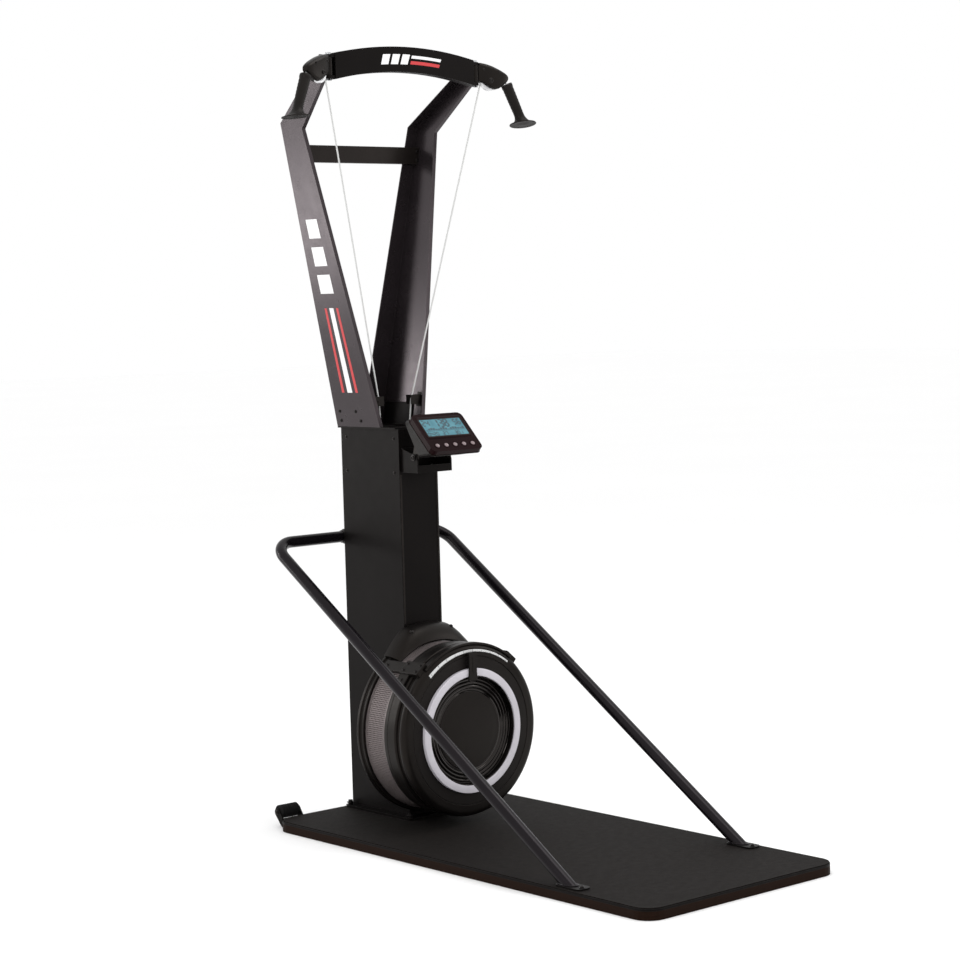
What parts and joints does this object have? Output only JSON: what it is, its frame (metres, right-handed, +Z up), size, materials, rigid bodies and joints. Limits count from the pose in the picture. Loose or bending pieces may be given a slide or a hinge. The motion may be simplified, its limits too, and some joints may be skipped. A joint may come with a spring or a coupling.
{
  "type": "ski trainer machine",
  "caption": "Standing ski trainer: platform, column, splayed arms with a top beam, swivelling pulley heads with pull handles, handrail, tilting console and an air flywheel.",
  "frame": {"origin": "on the floor, in the middle of the platform's underside", "axes": "+Z up, +Y from the user towards the column, +X to the right of the user"},
  "size_m": [0.8738, 1.51, 2.142],
  "materials": {
    "powder_coat": "satin black powder coat",
    "black_plastic": "fine-grained moulding",
    "gloss_black": "glossy moulding",
    "rubber_mat": "matte",
    "brown_board": "dark brown coated edge",
    "silver_band": "satin",
    "pale_ring": "pale silver paint",
    "plain_steel": "satin",
    "white_cord": "braided",
    "dark_bungee": "braided over rubber",
    "pale_screen": "plain display",
    "grey_button": "satin"
  },
  "bodies": {
    "frame": {"column_foot_plate": "powder_coat", "column_shell": "powder_coat", "column_rear_cover": "powder_coat", "arm_yoke": "powder_coat", "arm_right": "powder_coat", "arm_left": "powder_coat", "arm_crossbar": "powder_coat", "top_beam": "powder_coat", "handrail": "powder_coat", "rail_foot_right": "powder_coat", "rail_foot_left": "powder_coat", "handrail_clamp": "powder_coat", "wheel_fork_right": "powder_coat", "wheel_fork_left": "powder_coat", "bungee_anchor": "powder_coat", "console_bracket": "powder_coat", "cord_guide_right": "black_plastic", "cord_guide_left": "black_plastic", "back_pan": "black_plastic", "front_drum": "black_plastic", "flywheel_cowl": "black_plastic", "front_cap": "gloss_black", "platform_mat": "rubber_mat", "platform_board": "brown_board", "mesh_band": "silver_band", "trim_ring": "pale_ring", "damper_scale": "pale_ring", "swivel_pin_right": "plain_steel", "swivel_pin_left": "plain_steel", "bearing_front": "plain_steel", "bearing_rear": "plain_steel", "drive_cord_right": "white_cord", "drive_cord_left": "white_cord", "return_bungee_left": "dark_bungee", "return_bungee_right": "dark_bungee"},
    "head_right": {"pulley_head_right": "black_plastic", "handle_cord_right": "white_cord"},
    "head_left": {"pulley_head_left": "black_plastic", "handle_cord_left": "white_cord"},
    "pulley_right": {"cord_pulley_right": "silver_band"},
    "pulley_left": {"cord_pulley_left": "silver_band"},
    "handle_right": {"handle_right": "black_plastic"},
    "handle_left": {"handle_left": "black_plastic"},
    "guide_roller_right": {"guide_roller_right": "plain_steel"},
    "guide_roller_left": {"guide_roller_left": "plain_steel"},
    "cord_drum_left": {"cord_drum_left": "black_plastic"},
    "cord_drum_right": {"cord_drum_right": "black_plastic"},
    "flywheel": {"fan_flywheel": "plain_steel", "drive_shaft": "plain_steel"},
    "damper": {"damper_lever": "black_plastic"},
    "console": {"console_front": "black_plastic", "console_rear": "black_plastic", "console_screen": "pale_screen"},
    "wheel_right": {"transport_wheel_right": "rubber_mat"},
    "wheel_left": {"transport_wheel_left": "rubber_mat"},
    "button_1": {"console_button_1": "grey_button"},
    "button_2": {"console_button_2": "grey_button"},
    "button_3": {"console_button_3": "grey_button"},
    "button_4": {"console_button_4": "grey_button"},
    "button_5": {"console_button_5": "grey_button"}
  },
  "joints": [
    {"name": "head_right_swivel", "type": "hinge", "parent": "frame", "child": "head_right", "pos_m": [0.256, 0.4815, 2.08], "axis": [0, 0, 1], "range_deg": [-60, 15], "deforming": ["drive_cord_right"]},
    {"name": "handle_right_pull", "type": "slide", "parent": "head_right", "child": "handle_right", "axis": [0.3898, -0.1044, -0.915], "range_m": [0, 1.25], "stiffness_N_per_m": 12, "springref_m": -1, "deforming": ["handle_cord_right"]},
    {"name": "pulley_right_turn", "type": "hinge", "parent": "head_right", "child": "pulley_right", "pos_m": [0.29753, 0.47037, 2.061], "axis": [0.2588, 0.9659, 0], "continuous": true},
    {"name": "guide_roller_right_turn", "type": "hinge", "parent": "frame", "child": "guide_roller_right", "pos_m": [0.0678, 0.561, 1.18], "axis": [0, 1, 0], "continuous": true},
    {"name": "cord_drum_right_turn", "type": "hinge", "parent": "frame", "child": "cord_drum_right", "pos_m": [0, 0.5655, 0.288], "axis": [0, 1, 0], "continuous": true},
    {"name": "transport_wheel_right_spin", "type": "hinge", "parent": "frame", "child": "wheel_right", "pos_m": [0.272, 0.7575, 0.043], "axis": [1, 0, 0], "continuous": true},
    {"name": "head_left_swivel", "type": "hinge", "parent": "frame", "child": "head_left", "pos_m": [-0.256, 0.4815, 2.08], "axis": [0, 0, 1], "range_deg": [-15, 60], "deforming": ["drive_cord_left"]},
    {"name": "handle_left_pull", "type": "slide", "parent": "head_left", "child": "handle_left", "axis": [-0.3898, -0.1044, -0.915], "range_m": [0, 1.25], "stiffness_N_per_m": 12, "springref_m": -1, "deforming": ["handle_cord_left"]},
    {"name": "pulley_left_turn", "type": "hinge", "parent": "head_left", "child": "pulley_left", "pos_m": [-0.29753, 0.47037, 2.061], "axis": [0.2588, -0.9659, 0], "continuous": true},
    {"name": "guide_roller_left_turn", "type": "hinge", "parent": "frame", "child": "guide_roller_left", "pos_m": [-0.0678, 0.561, 1.18], "axis": [0, -1, 0], "continuous": true},
    {"name": "cord_drum_left_turn", "type": "hinge", "parent": "frame", "child": "cord_drum_left", "pos_m": [0, 0.5295, 0.288], "axis": [0, 1, 0], "continuous": true},
    {"name": "transport_wheel_left_spin", "type": "hinge", "parent": "frame", "child": "wheel_left", "pos_m": [-0.272, 0.7575, 0.043], "axis": [1, 0, 0], "continuous": true},
    {"name": "flywheel_spin", "type": "hinge", "parent": "frame", "child": "flywheel", "pos_m": [0, 0.3775, 0.288], "axis": [0, 1, 0], "continuous": true},
    {"name": "damper_turn", "type": "hinge", "parent": "frame", "child": "damper", "pos_m": [0, 0.2755, 0.288], "axis": [0, 1, 0], "range_deg": [-36, 28]},
    {"name": "console_tilt", "type": "hinge", "parent": "frame", "child": "console", "pos_m": [0, 0.4125, 1.029], "axis": [1, 0, 0], "range_deg": [-12, 20]},
    {"name": "button_1_press", "type": "slide", "parent": "console", "child": "button_1", "axis": [0, 0.7071, -0.7071], "range_m": [0, 0.0015], "stiffness_N_per_m": 500, "springref_m": -0.001},
    {"name": "button_2_press", "type": "slide", "parent": "console", "child": "button_2", "axis": [0, 0.7071, -0.7071], "range_m": [0, 0.0015], "stiffness_N_per_m": 500, "springref_m": -0.001},
    {"name": "button_3_press", "type": "slide", "parent": "console", "child": "button_3", "axis": [0, 0.7071, -0.7071], "range_m": [0, 0.0015], "stiffness_N_per_m": 500, "springref_m": -0.001},
    {"name": "button_4_press", "type": "slide", "parent": "console", "child": "button_4", "axis": [0, 0.7071, -0.7071], "range_m": [0, 0.0015], "stiffness_N_per_m": 500, "springref_m": -0.001},
    {"name": "button_5_press", "type": "slide", "parent": "console", "child": "button_5", "axis": [0, 0.7071, -0.7071], "range_m": [0, 0.0015], "stiffness_N_per_m": 500, "springref_m": -0.001}
  ],
  "couplings": [
    {"joint": "pulley_right_turn", "follows": "handle_right_pull", "rad_per_m": 37.736},
    {"joint": "guide_roller_right_turn", "follows": "handle_right_pull", "rad_per_m": 92.593},
    {"joint": "cord_drum_right_turn", "follows": "handle_right_pull", "rad_per_m": 23.529},
    {"joint": "pulley_left_turn", "follows": "handle_left_pull", "rad_per_m": 37.736},
    {"joint": "guide_roller_left_turn", "follows": "handle_left_pull", "rad_per_m": 92.593},
    {"joint": "cord_drum_left_turn", "follows": "handle_left_pull", "rad_per_m": 23.529}
  ]
}
